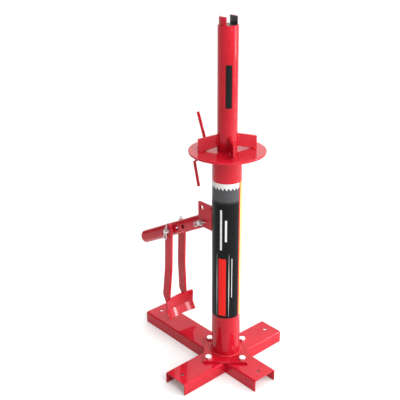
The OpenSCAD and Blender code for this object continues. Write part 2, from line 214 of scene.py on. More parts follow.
# ---------- solids, each a bmesh in millimetres ----------

def bridge(bm, first, second):
    """Quads between two rings of vertices."""
    for index in range(len(first)):
        following = (index + 1) % len(first)
        bm.faces.new((first[index], first[following], second[following], second[index]))


def skin(bm, rings, closed=False):
    """Quads from each ring to the next. The last ring meets the first, or both get a flat end."""
    for first, second in zip(rings, rings[1:] + rings[:1] if closed else rings[1:]):
        bridge(bm, first, second)
    if not closed:
        bm.faces.new(rings[0][::-1])
        bm.faces.new(rings[-1])
    return bm


def plate(outline, holes, thickness, edge=0.6, steps=3):
    """A flat plate in the X-Y plane, from z = 0 up to its thickness, with every edge rounded."""
    lower = []
    for step in range(steps + 1):
        angle = math.pi / 2 * step / steps
        lower.append((edge * (1 - math.sin(angle)), edge * (1 - math.cos(angle))))
    levels = lower + [(inset, thickness - height) for inset, height in reversed(lower)]
    loops = [outline if area(outline) > 0 else outline[::-1]]
    loops += [hole if area(hole) < 0 else hole[::-1] for hole in holes]
    bm = bmesh.new()
    bottom_rim = []
    top_rim = []
    for loop in loops:
        rings = []
        for inset, height in levels:
            rings.append([bm.verts.new((point.x, point.y, height)) for point in shrunk(loop, inset)])
        for below, above in zip(rings, rings[1:]):
            bridge(bm, below, above)
        for rim, ring in ((bottom_rim, rings[0]), (top_rim, rings[-1])):
            rim += [bm.edges.get((ring[i - 1], ring[i])) for i in range(len(ring))]
    for rim in (bottom_rim, top_rim):
        bmesh.ops.triangle_fill(bm, use_beauty=True, edges=rim, normal=UP)
    return bm


def revolved(profile, steps=96):
    """A closed outline of (radius, height) points turned once about Z."""
    bm = bmesh.new()
    rings = []
    for step in range(steps):
        angle = FULL_TURN * step / steps
        rings.append([bm.verts.new((*spot(point[0], angle), point[1])) for point in profile])
    skin(bm, rings, closed=True)
    bmesh.ops.remove_doubles(bm, verts=bm.verts, dist=1e-4)
    return bm


def tube(outer_radius, inner_radius, bottom, top, edge=0.5, steps=96):
    """A tube along Z with rounded rims."""
    return revolved(rounded(rectangle(inner_radius, bottom, outer_radius, top), edge, 2), steps)


def swept(path, radius, sides=16):
    """A round bar with rounded rims along a path of 3-D points."""
    end_round = 0.35
    inset = end_round * radius
    rim = ((0, 1 - end_round), (0.3 * inset, 1 - 0.3 * end_round), (inset, 1))
    last = len(path) - 1
    bm = bmesh.new()
    rings = []
    side = (path[1] - path[0]).normalized().orthogonal().normalized()
    for index, point in enumerate(path):
        tangent = (path[min(index + 1, last)] - path[max(index - 1, 0)]).normalized()
        side = (side - tangent * side.dot(tangent)).normalized()
        other = tangent.cross(side)
        places = [(point, 1)]
        if index == 0:
            places = [(point + tangent * distance, scale) for distance, scale in rim]
        if index == last:
            places = [(point - tangent * distance, scale) for distance, scale in reversed(rim)]
        for place, scale in places:
            ring = []
            for step in range(sides):
                x, y = spot(1, FULL_TURN * step / sides)
                ring.append(bm.verts.new(place + (side * x + other * y) * radius * scale))
            rings.append(ring)
    return skin(bm, rings)


def weld_bead(path, radius, outward, closed=False, pitch=2.4):
    """A weld run along a path, with curved ripples like overlapping scales.

    outward gives the direction of the bead's crown at a point."""
    points_per_ripple = 7
    sides = 14
    taper_length = 1.2 * radius
    smallest_taper = 0.03
    points = resampled(path, pitch / points_per_ripple, closed)
    length = path_length(points, closed)
    ripples = max(1, round(length / pitch))
    bm = bmesh.new()
    rings = []
    travelled = 0
    for index, point in enumerate(points):
        ahead = points[(index + 1) % len(points)] if closed else points[min(index + 1, len(points) - 1)]
        behind = points[index - 1] if closed or index else points[0]
        along = (ahead - behind).normalized()
        crown = outward(point)
        crown = (crown - along * crown.dot(along)).normalized()
        across = along.cross(crown)
        if index:
            travelled += (point - points[index - 1]).length
        taper = 1
        if not closed:
            from_end = min(travelled, length - travelled) / taper_length
            taper = math.sqrt(max(smallest_taper, 1 - (1 - min(1, from_end)) ** 2))
        # long, low lumps and short, lower ones
        lump = 0.07 * noise.noise(point * 0.16 + crown * 3) + 0.04 * noise.noise(point * 0.7)
        ring = []
        for step in range(sides):
            x, y = spot(1, FULL_TURN * step / sides)
            # the ripple lags behind towards the bead's toes, which curves the scales
            phase = (travelled / length * ripples + 0.45 * (1 - x)) % 1
            ripple = 0.10 * math.sin(math.pi * phase ** 0.6)
            size = radius * taper * (0.95 + ripple + lump)
            ring.append(bm.verts.new(point + (crown * x + across * y) * size))
        rings.append(ring)
    return skin(bm, rings, closed)


def straight_bead(start, end, crown, radius, pitch):
    """A straight weld run whose crown points the same way all along."""
    direction = Vector(crown).normalized()
    return weld_bead([Vector(start), Vector(end)], radius, lambda point: direction, pitch=pitch)


def path_length(points, closed):
    """Length of a path of points."""
    total = sum((second - first).length for first, second in zip(points, points[1:]))
    return total + ((points[0] - points[-1]).length if closed else 0)


def resampled(path, spacing, closed):
    """The same path with points at an even spacing."""
    line = path + [path[0]] if closed else path
    length = path_length(line, False)
    count = max(2, round(length / spacing))
    points = []
    leg = 0
    done = 0
    for index in range(count if closed else count + 1):
        wanted = length * index / count
        while leg < len(line) - 2 and done + (line[leg + 1] - line[leg]).length < wanted:
            done += (line[leg + 1] - line[leg]).length
            leg += 1
        step = line[leg + 1] - line[leg]
        share = min(1, (wanted - done) / step.length)
        points.append(line[leg] + step * share)
    return points


def hex_fastener(across, bottom, top, chamfer_top, chamfer_bottom, bore=0.001):
    """A hexagonal head or nut whose corners are turned down by a cone at one or both ends."""
    columns = 72
    edge = 0.15
    apothem = across / 2
    chamfer_start = 0.94 * apothem
    chamfer_slope = math.tan(math.radians(28))
    bm = bmesh.new()
    rings = []
    for column in range(columns):
        angle = FULL_TURN * column / columns
        from_flat = (angle + math.pi / 6) % (math.pi / 3) - math.pi / 6
        corner = apothem / math.cos(from_flat)
        drop = (corner - chamfer_start) * chamfer_slope
        floor = bottom + (drop if chamfer_bottom else 0)
        roof = top - (drop if chamfer_top else 0)
        profile = [(bore, bottom), (chamfer_start, bottom), (corner - edge, floor), (corner, floor + edge),
                   (corner, roof - edge), (corner - edge, roof), (chamfer_start, top), (bore, top)]
        rings.append([bm.verts.new((*spot(radius, angle), height)) for radius, height in profile])
    skin(bm, rings, closed=True)
    bmesh.ops.remove_doubles(bm, verts=bm.verts, dist=0.01)
    return bm


def threaded_rod(radius, bottom, top):
    """A rod along Z with one helical thread and a narrowed first row."""
    pitch = 1.5
    depth = 0.45
    columns = 24
    rows = round((top - bottom) / pitch * 6)
    bm = bmesh.new()
    rings = []
    for row in range(rows + 1):
        height = bottom + (top - bottom) * row / rows
        ring = []
        for column in range(columns):
            share = column / columns
            phase = ((height - bottom) / pitch - share) % 1
            groove = 1 - abs(2 * phase - 1) if row else 1.6
            ring.append(bm.verts.new((*spot(radius - depth * groove, FULL_TURN * share), height)))
        rings.append(ring)
    return skin(bm, rings)


# ---------- changes to a bmesh ----------

def turn(bm, degrees, axis):
    """Turn the mesh about an axis through the origin."""
    matrix = Matrix.Rotation(math.radians(degrees), 3, axis)
    bmesh.ops.rotate(bm, cent=(0, 0, 0), matrix=matrix, verts=bm.verts)
    return bm


def shift(bm, x=0, y=0, z=0):
    """Move the mesh."""
    bmesh.ops.translate(bm, vec=(x, y, z), verts=bm.verts)
    return bm


def joined(parts):
    """Several bmeshes in one."""
    whole = bmesh.new()
    for part in parts:
        mesh = bpy.data.meshes.new("part")
        part.to_mesh(mesh)
        part.free()
        whole.from_mesh(mesh)
        bpy.data.meshes.remove(mesh)
    return whole


def sliced(bm, direction, places):
    """Add edges where flat sheets cross the mesh, so that it can bend there."""
    for place in places:
        bmesh.ops.bisect_plane(bm, geom=bm.verts[:] + bm.edges[:] + bm.faces[:], dist=1e-4,
                               plane_co=direction * place, plane_no=direction)
    return bm


def cut(bm, cutters):
    """The mesh with closed cutters taken away from it."""
    objects = []
    for part in [bm] + cutters:
        bmesh.ops.recalc_face_normals(part, faces=part.faces)
        mesh = bpy.data.meshes.new("solid")
        part.to_mesh(mesh)
        part.free()
        solid = bpy.data.objects.new("solid", mesh)
        bpy.context.scene.collection.objects.link(solid)
        objects.append(solid)
    for cutter in objects[1:]:
        modifier = objects[0].modifiers.new("cut", "BOOLEAN")
        modifier.operation = "DIFFERENCE"
        modifier.solver = "EXACT"
        modifier.object = cutter
    bpy.context.view_layer.update()
    evaluated = objects[0].evaluated_get(bpy.context.evaluated_depsgraph_get())
    result = bmesh.new()
    result.from_mesh(evaluated.data)
    for solid in objects:
        mesh = solid.data
        bpy.data.objects.remove(solid)
        bpy.data.meshes.remove(mesh)
    return result


def aimed(bm, direction):
    """Turn the mesh so that its Z axis points along a direction."""
    bmesh.ops.rotate(bm, matrix=UP.rotation_difference(direction).to_matrix(), verts=bm.verts)
    return bm


def cross_cutter(middle, reach, radius, steps=32):
    """A round cutter that reaches equally far to both sides of a point."""
    start = middle - reach
    direction = middle + reach - start
    length = direction.length
    bm = revolved([(0, 0), (radius, 0), (radius, length), (0, length)], steps)
    return shift(aimed(bm, direction), *start)


def wrapped(bm, radius, start, embed):
    """Wrap a flat film round the post axis: x runs round it from a direction, y becomes the height."""
    for vert in bm.verts:
        angle = start + vert.co.x / radius
        vert.co = Vector((*spot(radius - embed + vert.co.z, angle), vert.co.y))
    return bm


# ---------- materials ----------

class Nodes:
    """A node tree under construction, with short ways to add nodes."""

    def __init__(self, tree, place):
        self.tree = tree
        self.place = self.node("ShaderNodeTexCoord").outputs[place]

    def node(self, kind, **settings):
        made = self.tree.nodes.new(kind)
        for key, value in settings.items():
            setattr(made, key, value)
        return made

    def wire(self, source, target):
        self.tree.links.new(source, target)

    def put(self, socket, value):
        if isinstance(value, (int, float, tuple)):
            socket.default_value = value
        else:
            self.wire(value, socket)

    def spread(self, value, low_in, high_in, low_out, high_out, shape="LINEAR"):
        made = self.node("ShaderNodeMapRange", interpolation_type=shape)
        limits = {"From Min": low_in, "From Max": high_in, "To Min": low_out, "To Max": high_out}
        for key, number in limits.items():
            made.inputs[key].default_value = number
        self.wire(value, made.inputs["Value"])
        return made.outputs["Result"]

    def maths(self, operation, first, second=0.0, clamp=False):
        made = self.node("ShaderNodeMath", operation=operation, use_clamp=clamp)
        self.put(made.inputs[0], first)
        self.put(made.inputs[1], second)
        return made.outputs[0]

    def dot(self, first, second):
        made = self.node("ShaderNodeVectorMath", operation="DOT_PRODUCT")
        self.put(made.inputs[0], first)
        self.put(made.inputs[1], second)
        return made.outputs["Value"]


class Paint(Nodes):
    """A surface material under construction."""

    def __init__(self, name):
        self.material = bpy.data.materials.new(name)
        self.material.use_nodes = True
        super().__init__(self.material.node_tree, "Object")
        self.shader = self.tree.nodes["Principled BSDF"]

    def set(self, **constants):
        for key, value in constants.items():
            self.shader.inputs[key.replace("_", " ")].default_value = value

    def noise(self, scale, detail=3, roughness=0.5, stretch=None, distortion=0):
        made = self.node("ShaderNodeTexNoise")
        for key, number in (("Scale", scale), ("Detail", detail), ("Roughness", roughness),
                            ("Distortion", distortion)):
            made.inputs[key].default_value = number
        source = self.place
        if stretch:
            mapping = self.node("ShaderNodeMapping")
            mapping.inputs["Scale"].default_value = stretch
            self.wire(source, mapping.inputs["Vector"])
            source = mapping.outputs["Vector"]
        self.wire(source, made.inputs["Vector"])
        return made.outputs["Fac"]

    def mix(self, amount, first, second):
        made = self.node("ShaderNodeMix", data_type="RGBA")
        self.put(made.inputs["Factor"], amount)
        self.put(made.inputs["A"], first)
        self.put(made.inputs["B"], second)
        return made.outputs["Result"]

    def bump(self, layers):
        """Bumps from several (height, strength, distance in metres) layers, one over another."""
        normal = None
        for height, strength, distance in layers:
            made = self.node("ShaderNodeBump")
            made.inputs["Strength"].default_value = strength
            made.inputs["Distance"].default_value = distance
            self.wire(height, made.inputs["Height"])
            if normal:
                self.wire(normal, made.inputs["Normal"])
            normal = made.outputs["Normal"]
        self.wire(normal, self.shader.inputs["Normal"])

    def edges(self, radius, start, end):
        """One on convex and concave edges, nothing on open faces."""
        soft = self.node("ShaderNodeBevel", samples=4)
        soft.inputs["Radius"].default_value = radius
        plain = self.node("ShaderNodeNewGeometry")
        likeness = self.dot(soft.outputs["Normal"], plain.outputs["Normal"])
        return self.spread(likeness, start, end, 0, 1)

    def finish(self, colour, roughness):
        self.wire(colour, self.shader.inputs["Base Color"])
        self.wire(roughness, self.shader.inputs["Roughness"])
        return self.material


def red_powder_coat(name, deep=(0.42, 0.0040, 0.013, 1), bright=(0.52, 0.0075, 0.023, 1)):
    """Glossy red powder coat: slight tone drift, orange peel, handling haze, thin coat along edges."""
    paint = Paint(name)
    drift = paint.noise(9, 4, 0.55)
    colour = paint.mix(paint.spread(drift, 0.35, 0.65, 0, 1), deep, bright)
    wear = paint.edges(0.0011, 0.985, 0.90)
    patchy = paint.spread(paint.noise(60, 5, 0.65), 0.42, 0.66, 0.15, 1)
    worn = paint.maths("MULTIPLY", wear, patchy, clamp=True)
    colour = paint.mix(paint.maths("MULTIPLY", worn, 0.35), colour, (0.58, 0.035, 0.045, 1))
    haze = paint.spread(paint.noise(26, 5, 0.6, distortion=0.4), 0.35, 0.7, 0.17, 0.31)
    roughness = paint.maths("ADD", haze, paint.maths("MULTIPLY", worn, 0.12))
    peel = paint.noise(520, 2, 0.5)
    ripple = paint.noise(85, 3, 0.5)
    paint.bump([(ripple, 0.10, 0.0006), (peel, 0.14, 0.00018)])
    paint.set(IOR=1.5, Specular_IOR_Level=0.06, Coat_Weight=0.65, Coat_Roughness=0.03, Coat_IOR=1.36)
    return paint.finish(colour, roughness)


def zinc_plating(name, dark=(0.74, 0.76, 0.80, 1), pale=(0.93, 0.92, 0.89, 1)):
    """Bright zinc plating: cloudy, faintly rainbow passivation, fine drawing marks, bright edges."""
    paint = Paint(name)
    cloud = paint.noise(55, 5, 0.6)
    tint = paint.noise(130, 3, 0.5, distortion=1.2)
    colour = paint.mix(paint.spread(cloud, 0.3, 0.7, 0, 1), dark, pale)
    colour = paint.mix(paint.spread(tint, 0.56, 0.75, 0, 0.45), colour, (0.86, 0.80, 0.66, 1))
    wear = paint.edges(0.0006, 0.98, 0.85)
    colour = paint.mix(paint.maths("MULTIPLY", wear, 0.4), colour, (0.97, 0.97, 0.97, 1))
    marks = paint.noise(900, 2, 0.5, stretch=(1, 0.12, 1))
    roughness = paint.maths("ADD", paint.spread(cloud, 0.3, 0.7, 0.20, 0.36),
                            paint.spread(marks, 0.4, 0.7, 0.0, 0.10))
    paint.bump([(marks, 0.12, 0.0001), (cloud, 0.08, 0.0003)])
    paint.set(Metallic=0.92, IOR=1.8)
    return paint.finish(colour, roughness)


def slot_steel_with_painted_shade(name):
    """Near-black bare steel with fine cutter marks for the slot of the forked end; the near-black colour is
    painted shade of the slot's inside.
    """
    paint = Paint(name)
    cloud = paint.noise(80, 4, 0.6)
    marks = paint.noise(1500, 2, 0.5, stretch=(1, 1, 0.08))
    colour = paint.mix(cloud, (0.020, 0.020, 0.023, 1), (0.060, 0.056, 0.055, 1))
    roughness = paint.spread(marks, 0.3, 0.7, 0.28, 0.48)
    paint.bump([(marks, 0.2, 0.0001)])
    paint.set(Metallic=0.5)
    return paint.finish(colour, roughness)


def window(paint, value, start, end, blur=0.25):
    """One where a value lies between two limits, with a slight blur at each side."""
    rise = paint.spread(value, start - blur, start + blur, 0, 1)
    fall = paint.spread(value, end - blur, end + blur, 1, 0)
    return paint.maths("MULTIPLY", rise, fall)


def both(paint, *masks):
    """All the masks at once."""
    result = masks[0]
    for mask in masks[1:]:
        result = paint.maths("MULTIPLY", result, mask)
    return result


def cylinder_place(paint, radius, zero_azimuth):
    """Distance round a post from a direction, and height, both in millimetres."""
    split = paint.node("ShaderNodeSeparateXYZ")
    paint.wire(paint.place, split.inputs["Vector"])
    turned = paint.node("ShaderNodeVectorRotate", rotation_type="Z_AXIS")
    turned.inputs["Angle"].default_value = -math.radians(zero_azimuth)
    paint.wire(paint.place, turned.inputs["Vector"])
    flat = paint.node("ShaderNodeSeparateXYZ")
    paint.wire(turned.outputs["Vector"], flat.inputs["Vector"])
    azimuth = paint.maths("ARCTAN2", flat.outputs["Y"], flat.outputs["X"])
    return paint.maths("MULTIPLY", azimuth, radius), paint.maths("MULTIPLY", split.outputs["Z"], 1000.0)


def front_label_film(name):
    """Printed film: pale head, grey band, black field with a plain red bar, pale bars, two pale tapering
    lines.
    """
    field_top = 498
    stripes_bottom = 500
    head_bottom = 531
    above_label = 600
    line_middle = 258
    paint = Paint(name)
    around, height = cylinder_place(paint, POST_RADIUS, -60)
    grain = paint.noise(700, 2, 0.5)
    black = paint.mix(grain, (0.003, 0.003, 0.0035, 1), (0.008, 0.008, 0.009, 1))
    grey = paint.mix(grain, (0.045, 0.047, 0.050, 1), (0.065, 0.066, 0.070, 1))
    colour = paint.mix(window(paint, height, field_top, above_label, 6), black, grey)
    # faint stripes across the grey band
    stripes = paint.maths("PINGPONG", height, 3.2)
    stripe_mask = both(paint, window(paint, stripes, 1.2, 2.0, 0.3),
                       window(paint, height, stripes_bottom, head_bottom - 1, 1.0))
    colour = paint.mix(paint.maths("MULTIPLY", stripe_mask, 0.30), colour, (0.30, 0.30, 0.31, 1))
    # pale head with a row of dark triangles
    teeth = paint.maths("MULTIPLY", paint.maths("PINGPONG", around, 5.0), 1.5)
    tooth_line = paint.maths("ADD", teeth, head_bottom)
    tooth_mask = paint.spread(paint.maths("SUBTRACT", height, tooth_line), -0.3, 0.3, 0, 1)
    pale = paint.mix(grain, (0.62, 0.62, 0.60, 1), (0.74, 0.74, 0.72, 1))
    head = both(paint, window(paint, height, head_bottom, above_label, 0.2), tooth_mask)
    colour = paint.mix(head, colour, pale)
    # two thin pale lines up the label that thin out towards their ends
    for place in (-15.5, 17.5):
        from_middle = paint.maths("ABSOLUTE", paint.maths("SUBTRACT", height, line_middle))
        half_width = paint.spread(from_middle, 10, 100, 0.95, 0.15)
        offset = paint.maths("ABSOLUTE", paint.maths("SUBTRACT", around, place))
        line = paint.spread(paint.maths("SUBTRACT", half_width, offset), -0.15, 0.15, 0, 1)
        line = both(paint, line, window(paint, height, 168, 352, 4))
        colour = paint.mix(line, colour, (0.60, 0.60, 0.57, 1))
    # one plain red bar
    bar = both(paint, window(paint, around, -10.5, 9.5, 0.3), window(paint, height, 170, 340, 0.5))
    red = paint.mix(grain, (0.66, 0.012, 0.010, 1), (0.80, 0.022, 0.018, 1))
    colour = paint.mix(bar, colour, red)
    # plain pale bars: two higher up and a thin one beside the silver lines
    for place, half_bar, start, end in ((-4.0, 2.6, 365, 478), (9.0, 2.6, 390, 450), (25.3, 0.8, 226, 341)):
        bar = both(paint, window(paint, around, place - half_bar, place + half_bar, 0.25),
                   window(paint, height, start, end, 0.5))
        colour = paint.mix(bar, colour, (0.72, 0.72, 0.70, 1))
    dust = paint.noise(18, 5, 0.65)
    roughness = paint.spread(dust, 0.3, 0.7, 0.24, 0.42)
    paint.bump([(dust, 0.05, 0.0004), (grain, 0.05, 0.00006)])
    paint.set(IOR=1.4, Specular_IOR_Level=0.10, Coat_Weight=0.08, Coat_Roughness=0.10, Coat_IOR=1.4)
    return paint.finish(colour, roughness)


def printed_black(name):
    """Screen-printed black ink, a little uneven."""
    paint = Paint(name)
    grain = paint.noise(500, 3, 0.6)
    colour = paint.mix(grain, (0.006, 0.006, 0.007, 1), (0.016, 0.016, 0.017, 1))
    roughness = paint.spread(paint.noise(40, 4, 0.6), 0.3, 0.7, 0.30, 0.48)
    paint.bump([(grain, 0.06, 0.00006)])
    paint.set(IOR=1.4, Specular_IOR_Level=0.12)
    return paint.finish(colour, roughness)


def side_label_film(name):
    """Plain pale yellow film with a darker border and a few generic rules."""
    paint = Paint(name)
    around, height = cylinder_place(paint, POST_RADIUS, 46)
    grain = paint.noise(650, 2, 0.5)
    yellow = paint.mix(grain, (0.86, 0.56, 0.055, 1), (0.92, 0.66, 0.085, 1))
    orange = paint.mix(grain, (0.80, 0.22, 0.02, 1), (0.86, 0.28, 0.03, 1))
    inside = both(paint, window(paint, around, -17.0, 17.0, 0.3), window(paint, height, 164, 547, 0.3))
    colour = paint.mix(inside, orange, yellow)
    rules = both(paint, window(paint, paint.maths("PINGPONG", height, 23.0), 0.0, 0.7, 0.2),
                 window(paint, around, -9.5, 9.5, 0.3), window(paint, height, 190, 520, 0.3))
    colour = paint.mix(paint.maths("MULTIPLY", rules, 0.7), colour, (0.25, 0.13, 0.02, 1))
    dust = paint.noise(18, 5, 0.65)
    roughness = paint.spread(dust, 0.3, 0.7, 0.28, 0.46)
    paint.bump([(dust, 0.05, 0.0004), (grain, 0.05, 0.00006)])
    paint.set(IOR=1.46, Specular_IOR_Level=0.35, Coat_Weight=0.3, Coat_Roughness=0.15)
    return paint.finish(colour, roughness)


def studio_floor(name):
    """Pale matt floor with a faint mottle."""
    paint = Paint(name)
    mottle = paint.noise(3, 5, 0.6)
    fine = paint.noise(160, 3, 0.5)
    colour = paint.mix(mottle, (0.72, 0.72, 0.72, 1), (0.76, 0.76, 0.755, 1))
    roughness = paint.spread(fine, 0.3, 0.7, 0.55, 0.7)
    paint.bump([(fine, 0.03, 0.0004)])
    # a faint glow keeps the far floor as pale as the backdrop
    paint.set(Emission_Color=(1, 1, 1, 1), Emission_Strength=0.15)
    return paint.finish(colour, roughness)


RED = red_powder_coat("red_powder_coat")
WELD_RED = red_powder_coat("red_powder_coat_on_welds", (0.46, 0.005, 0.012, 1), (0.58, 0.010, 0.020, 1))
ZINC = zinc_plating("zinc_plating")
# the pins and the clips get darker copies of the zinc plating; the darkening is painted shade for their
# place on the dim side
PIN_ZINC_PAINTED_SHADE = zinc_plating("zinc_plated_pins_painted_shade", (0.46, 0.47, 0.49, 1), (0.66, 0.65, 0.63, 1))
SPRING_WIRE_PAINTED_SHADE = zinc_plating("zinc_plated_spring_wire_painted_shade", (0.40, 0.41, 0.43, 1), (0.62, 0.61, 0.59, 1))


# ---------- pieces ----------

def add_piece(name, bm, material, body, replaced=(), sharp=32, bevel=0.0):
    """Make a bmesh in millimetres a smooth-shaded piece that rides on a body."""
    bmesh.ops.remove_doubles(bm, verts=bm.verts, dist=1e-3)
    bmesh.ops.recalc_face_normals(bm, faces=bm.faces)
    for edge in bm.edges:
        if len(edge.link_faces) == 2:
            edge.smooth = edge.calc_face_angle(0) < math.radians(sharp)
    for face in bm.faces:
        face.smooth = True
    bmesh.ops.scale(bm, vec=(MM, MM, MM), verts=bm.verts)
    mesh = bpy.data.meshes.new(name)
    bm.to_mesh(mesh)
    bm.free()
    mesh.materials.append(material)
    piece = bpy.data.objects.new(name, mesh)
    bpy.context.scene.collection.objects.link(piece)
    if bevel:
        modifier = piece.modifiers.new("edges", "BEVEL")
        modifier.width = bevel * MM
        modifier.segments = 3
        modifier.limit_method = "ANGLE"
        modifier.angle_limit = math.radians(40)
        modifier.harden_normals = True
    even = piece.modifiers.new("even_shading", "WEIGHTED_NORMAL")
    even.keep_sharp = True
    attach(piece, body)
    if replaced:
        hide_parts(*replaced)
    return piece


def red_piece(node, bm, body="base", bevel=0.0):
    """A powder-coated piece that takes the place of one CAD node."""
    return add_piece("vis_" + node, bm, RED, body, [node], bevel=bevel)


def weld_piece(name, bm, body="base", in_cad=True, sharp=60):
    """Painted weld beads, which take the place of a CAD node or are in the visual model only."""
    return add_piece("vis_" + name, bm, WELD_RED, body, [name] if in_cad else (), sharp)


# ---------- base ----------

def bent_channel(start, end, holes):
    """An inverted channel along X, bent from a flat blank with round holes at (x, radius)."""
    bend_centre = CHANNEL_HALF_WIDTH - CHANNEL_BEND
    neutral_radius = CHANNEL_BEND - CHANNEL_WALL / 2
    bend_length = neutral_radius * math.pi / 2
    half_blank = bend_centre + bend_length + CHANNEL_HEIGHT - CHANNEL_BEND
    outline = rounded(rectangle(start, -half_blank, end, half_blank), 0.8)
    bm = plate(outline, [circle(x, 0, radius) for x, radius in holes], CHANNEL_WALL, 0.5)
    bend_steps = 6
    lines = [side * (bend_centre + bend_length * step / bend_steps)
             for side in (-1, 1) for step in range(bend_steps + 1)]
    sliced(bm, ALONG_Y, lines)
    for vert in bm.verts:
        side = math.copysign(1, vert.co.y)
        reach = abs(vert.co.y)
        depth = CHANNEL_WALL - vert.co.z
        if reach <= bend_centre:
            vert.co.z = CHANNEL_HEIGHT - depth
        elif reach <= bend_centre + bend_length:
            angle = (reach - bend_centre) / neutral_radius
            vert.co.y = side * (bend_centre + (CHANNEL_BEND - depth) * math.sin(angle))
            vert.co.z = CHANNEL_HEIGHT - CHANNEL_BEND + (CHANNEL_BEND - depth) * math.cos(angle)
        else:
            vert.co.y = side * (CHANNEL_HALF_WIDTH - depth)
            vert.co.z = CHANNEL_HEIGHT - CHANNEL_BEND - (reach - bend_centre - bend_length)
    return bm


def make_base():
    """Long channel, two side legs and the square plate over them."""
    start = low("long_base_channel").x
    end = high("long_base_channel").x
    leg_end = high("side_leg_right").y
    leg_gap = 0.1
    red_piece("long_base_channel", bent_channel(start, end, [
        (start + ANCHOR_INSET, ANCHOR_HOLE_RADIUS), (end - ANCHOR_INSET, ANCHOR_HOLE_RADIUS),
        (PLATE_BOLT_REACH, BOLT_HOLE_RADIUS), (-PLATE_BOLT_REACH, BOLT_HOLE_RADIUS)]))
    for node, degrees in (("side_leg_left", -90), ("side_leg_right", 90)):
        leg = bent_channel(CHANNEL_HALF_WIDTH + leg_gap, leg_end, [
            (PLATE_BOLT_REACH, BOLT_HOLE_RADIUS), (leg_end - ANCHOR_INSET, ANCHOR_HOLE_RADIUS)])
        red_piece(node, turn(leg, degrees, "Z"))

    diagonal = PLATE_HALF_DIAGONAL
    quarters = ((1, 0), (0, 1), (-1, 0), (0, -1))
    outline = rounded([(diagonal * x, diagonal * y) for x, y in quarters], 1.6)
    holes = [circle(PLATE_BOLT_REACH * x, PLATE_BOLT_REACH * y, BOLT_HOLE_RADIUS) for x, y in quarters]
    red_piece("base_plate", shift(plate(outline, holes, PLATE_TOP - CHANNEL_HEIGHT, 0.7), z=CHANNEL_HEIGHT))


def make_fasteners():
    """Four bolts through the plate and their nuts; a head has a washer face and a small raised mark."""
    head_top = high("plate_bolts").z
    head_bottom = PLATE_TOP + 0.3
    head_turn = 20
    face_radius = BOLT_HEAD_ACROSS / 2 - 0.4
    face_bottom = PLATE_TOP - 0.05
    face_top = PLATE_TOP + 0.6
    stud_radius = 2.6
    stud_bottom = head_top - 0.5
    stud_top = head_top + 0.25
    thread_gap = 0.05
    bolts = []
    nuts = []
    for quarter in range(4):
        head = turn(hex_fastener(BOLT_HEAD_ACROSS, head_bottom, head_top, True, False), head_turn, "Z")
        face = revolved(rounded(rectangle(0, face_bottom, face_radius, face_top), 0.1, 1), 48)
        stud = revolved(rounded([(0, stud_bottom), (stud_radius, stud_bottom),
                                 (stud_radius - 0.2, stud_top), (0, stud_top)], 0.2, 2), 32)
        shank = threaded_rod(BOLT_RADIUS, low("plate_bolts").z, PLATE_TOP + 1)
        nut = hex_fastener(BOLT_HEAD_ACROSS, low("plate_nuts").z, high("plate_nuts").z, True, True,
                           BOLT_RADIUS + thread_gap)
        for part in (head, face, stud, shank, nut):
            turn(shift(part, x=PLATE_BOLT_REACH), 90 * quarter, "Z")
        bolts += [head, face, stud, shank]
        nuts.append(nut)
    for node, parts in (("plate_bolts", bolts), ("plate_nuts", nuts)):
        add_piece("vis_" + node, joined(parts), ZINC, "base", [node], sharp=24)


# ---------- posts ----------

def ring_path(radius, height, steps=96):
    """A level circle round the post axis."""
    return [Vector((*spot(radius, FULL_TURN * step / steps), height)) for step in range(steps)]


def away_from_post(rise):
    """Crown direction of a bead round the post: outwards, and up or down."""
    def outward(point):
        return (Vector((point.x, point.y, 0)).normalized() + UP * rise).normalized()
    return outward


def make_lower_post():
    """The thick tube with a weld at its foot and one under the disc."""
    red_piece("lower_post", tube(POST_RADIUS, POST_RADIUS - POST_WALL, PLATE_TOP, DISC_BOTTOM, 0.4, 128))
    foot = ring_path(POST_RADIUS + 0.8, PLATE_TOP + 0.8)
    weld_piece("post_base_weld", weld_bead(foot, 3.9, away_from_post(1), closed=True, pitch=3.0))
    head = weld_bead(ring_path(POST_RADIUS + 0.4, DISC_BOTTOM - 0.4), 2.6, away_from_post(-1), closed=True,
                     pitch=2.6)
    weld_piece("post_head_weld", head, in_cad=False)


def make_upper_post():
    """The thin tube, with two plug welds that hold the forked end."""
    plug_height = UPPER_POST_TOP - 10
    plug_direction = Vector((*spot(1, PLUG_ANGLE), 0))
    upper = tube(UPPER_POST_RADIUS, UPPER_POST_RADIUS - UPPER_POST_WALL, DISC_TOP, UPPER_POST_TOP, 0.6, 112)
    cutter = cross_cutter(UP * plug_height, plug_direction * 1.5 * UPPER_POST_RADIUS, PLUG_RADIUS)
    red_piece("upper_post", cut(upper, [cutter]))

    depth = 3
    rim_radius = PLUG_RADIUS + 0.1
    rim_height = 0.2
    dome_height = 1.1
    dome_steps = 10
    seat = UPPER_POST_RADIUS - 1.9
    lumps = []
    for side in (-1, 1):
        profile = [Vector((0, -depth)), Vector((rim_radius, -depth))]
        for step in range(dome_steps + 1):
            angle = math.pi / 2 * step / dome_steps
            dome = rim_height + dome_height * math.sin(angle)
            profile.append(Vector((rim_radius * math.cos(angle), dome)))
        lump = revolved(profile, 28)
        for vert in lump.verts:
            if vert.co.z > 0:
                vert.co += Vector((0, 0, 0.9 * noise.noise(vert.co * 0.45 + Vector((0, 0, 7 * side)))))
        direction = plug_direction * side
        lumps.append(shift(aimed(lump, direction), *(direction * seat + UP * plug_height)))
    weld_piece("plug_welds", joined(lumps), in_cad=False, sharp=50)


